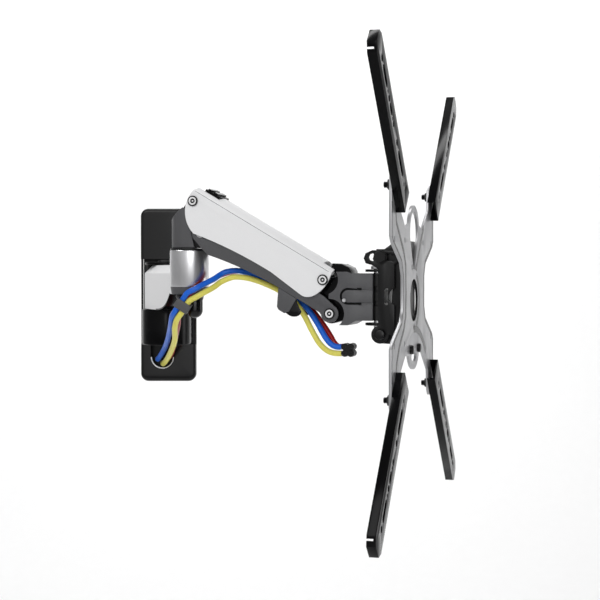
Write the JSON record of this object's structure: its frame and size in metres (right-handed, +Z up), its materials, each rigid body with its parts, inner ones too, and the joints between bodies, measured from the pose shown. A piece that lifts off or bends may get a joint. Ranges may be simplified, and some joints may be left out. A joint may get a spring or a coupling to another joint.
{
  "type": "television wall mount",
  "caption": "Full motion wall mount for a flat television: a gas-spring arm that swings and lifts, a swivelling and tilting screen plate, and a cross of bars.",
  "frame": {"origin": "centre of the back face of the wall plate, the face that lies on the wall", "axes": "+Z up; the wall is the plane Y = 0 and the mount stands out from it along -Y; +X to the right for someone who faces the wall"},
  "size_m": [0.3666, 0.4302, 0.444],
  "materials": {
    "gloss_black_plastic": "smooth gloss black moulding",
    "gloss_black_paint": "gloss black powder coat",
    "black_sheet": "satin black powder coat",
    "black_steel": "black oxide screws and pins",
    "dark_grey": "satin dark grey paint",
    "silver_paint": "smooth silver paint",
    "plated_sheet": "zinc-plated sheet steel",
    "steel": "plain machined steel",
    "cable_blue": "glossy blue cable jacket",
    "cable_yellow": "olive-yellow cable jacket",
    "cable_red": "dark red cable jacket",
    "moulded_black": "black moulded cable end"
  },
  "bodies": {
    "wall": {"wall_plate": "black_sheet", "wall_cover": "gloss_black_plastic", "hinge_housing": "gloss_black_paint", "wall_hinge_pin": "black_steel", "lag_screw_upper": "black_steel", "lag_screw_lower": "black_steel", "cable_blue_wall": "cable_blue", "cable_yellow_wall": "cable_yellow", "cable_red_wall": "cable_red"},
    "link": {"swivel_link": "silver_paint", "elbow_flange": "black_steel", "elbow_cap": "gloss_black_plastic", "cable_strap": "dark_grey", "cable_blue_elbow": "cable_blue", "cable_yellow_elbow": "cable_yellow", "cable_red_elbow": "cable_red"},
    "arm_base": {"elbow_bracket": "dark_grey", "arm_base_core": "black_steel", "elbow_pin": "steel", "elbow_washer": "black_steel", "spring_rear_pin": "steel", "upper_rear_pivot": "black_steel", "lower_rear_pivot": "steel"},
    "upper_arm": {"upper_arm_cover": "silver_paint", "spring_front_pin": "steel"},
    "lower_arm": {"lower_arm": "dark_grey", "cable_loop": "dark_grey", "cable_blue_arm": "cable_blue", "cable_yellow_arm": "cable_yellow", "cable_red_arm": "cable_red"},
    "gas_cylinder": {"gas_cylinder": "black_sheet"},
    "gas_rod": {"gas_rod": "steel"},
    "head": {"lower_front_pivot": "black_steel", "upper_front_pivot": "black_steel", "cable_end": "moulded_black", "cable_blue_end": "cable_blue", "cable_yellow_end": "cable_yellow", "cable_red_end": "cable_red", "head_block": "dark_grey", "swivel_barrel": "gloss_black_plastic", "swivel_pin": "steel", "head_set_screw": "steel"},
    "yoke": {"swivel_yoke": "black_sheet"},
    "screen": {"tilt_bracket": "black_sheet", "tilt_pivot_rod": "black_steel", "tilt_lock_bolt": "black_steel", "centre_plate": "plated_sheet", "bracket_screw_upper_near": "black_steel", "bracket_screw_upper_far": "black_steel", "bracket_screw_lower": "black_steel", "plate_button_near": "black_steel", "plate_button_far": "black_steel", "bar_far_top": "gloss_black_paint", "bar_bolt_far_top": "black_steel", "bar_far_bottom": "gloss_black_paint", "bar_bolt_far_bottom": "black_steel", "bar_near_bottom": "gloss_black_paint", "bar_bolt_near_bottom": "black_steel", "bar_near_top": "gloss_black_paint", "bar_bolt_near_top": "black_steel"}
  },
  "joints": [
    {"name": "wall_swing", "type": "hinge", "parent": "wall", "child": "link", "pos_m": [0, -0.035, 0], "axis": [0, 0, 1], "range_deg": [-100, 65], "deforming": ["cable_blue_wall", "cable_yellow_wall", "cable_red_wall"]},
    {"name": "elbow_swing", "type": "hinge", "parent": "link", "child": "arm_base", "pos_m": [0.03628, -0.14938, 0], "axis": [0, 0, 1], "range_deg": [-120, 20], "deforming": ["cable_blue_elbow", "cable_yellow_elbow", "cable_red_elbow"]},
    {"name": "arm_lift", "type": "hinge", "parent": "arm_base", "child": "upper_arm", "pos_m": [0.049, -0.15291, 0.0994], "axis": [-0.2672, -0.9636, 0], "range_deg": [-4, 52]},
    {"name": "lower_arm_lift", "type": "hinge", "parent": "arm_base", "child": "lower_arm", "pos_m": [0.05498, -0.15457, 0.0654], "axis": [-0.2672, -0.9636, 0], "range_deg": [-4, 52], "deforming": ["cable_blue_arm", "cable_yellow_arm", "cable_red_arm"]},
    {"name": "head_level", "type": "hinge", "parent": "lower_arm", "child": "head", "pos_m": [0.18796, -0.19145, -0.01557], "axis": [-0.2672, -0.9636, 0], "range_deg": [-52, 4], "deforming": ["cable_blue_end", "cable_yellow_end", "cable_red_end"]},
    {"name": "spring_turn", "type": "hinge", "parent": "upper_arm", "child": "gas_cylinder", "pos_m": [0.14582, -0.17976, 0.0335], "axis": [-0.2672, -0.9636, 0], "range_deg": [-5, 5]},
    {"name": "spring_stroke", "type": "slide", "parent": "gas_cylinder", "child": "gas_rod", "axis": [0.8702, -0.2413, -0.4297], "range_m": [-0.03, 0.01]},
    {"name": "head_swivel", "type": "hinge", "parent": "head", "child": "yoke", "pos_m": [0.23094, -0.20336, 0], "axis": [0, 0, 1], "range_deg": [-45, 45]},
    {"name": "screen_tilt", "type": "hinge", "parent": "yoke", "child": "screen", "pos_m": [0.23778, -0.20526, -0.0359], "axis": [0.2672, 0.9636, 0], "range_deg": [-5, 9]}
  ],
  "couplings": [
    {"joint": "lower_arm_lift", "follows": "arm_lift", "ratio": 1},
    {"joint": "head_level", "follows": "arm_lift", "ratio": -1},
    {"joint": "spring_turn", "follows": "arm_lift", "ratio": 0.0431},
    {"joint": "spring_stroke", "follows": "arm_lift", "m_per_rad": -0.019165}
  ]
}
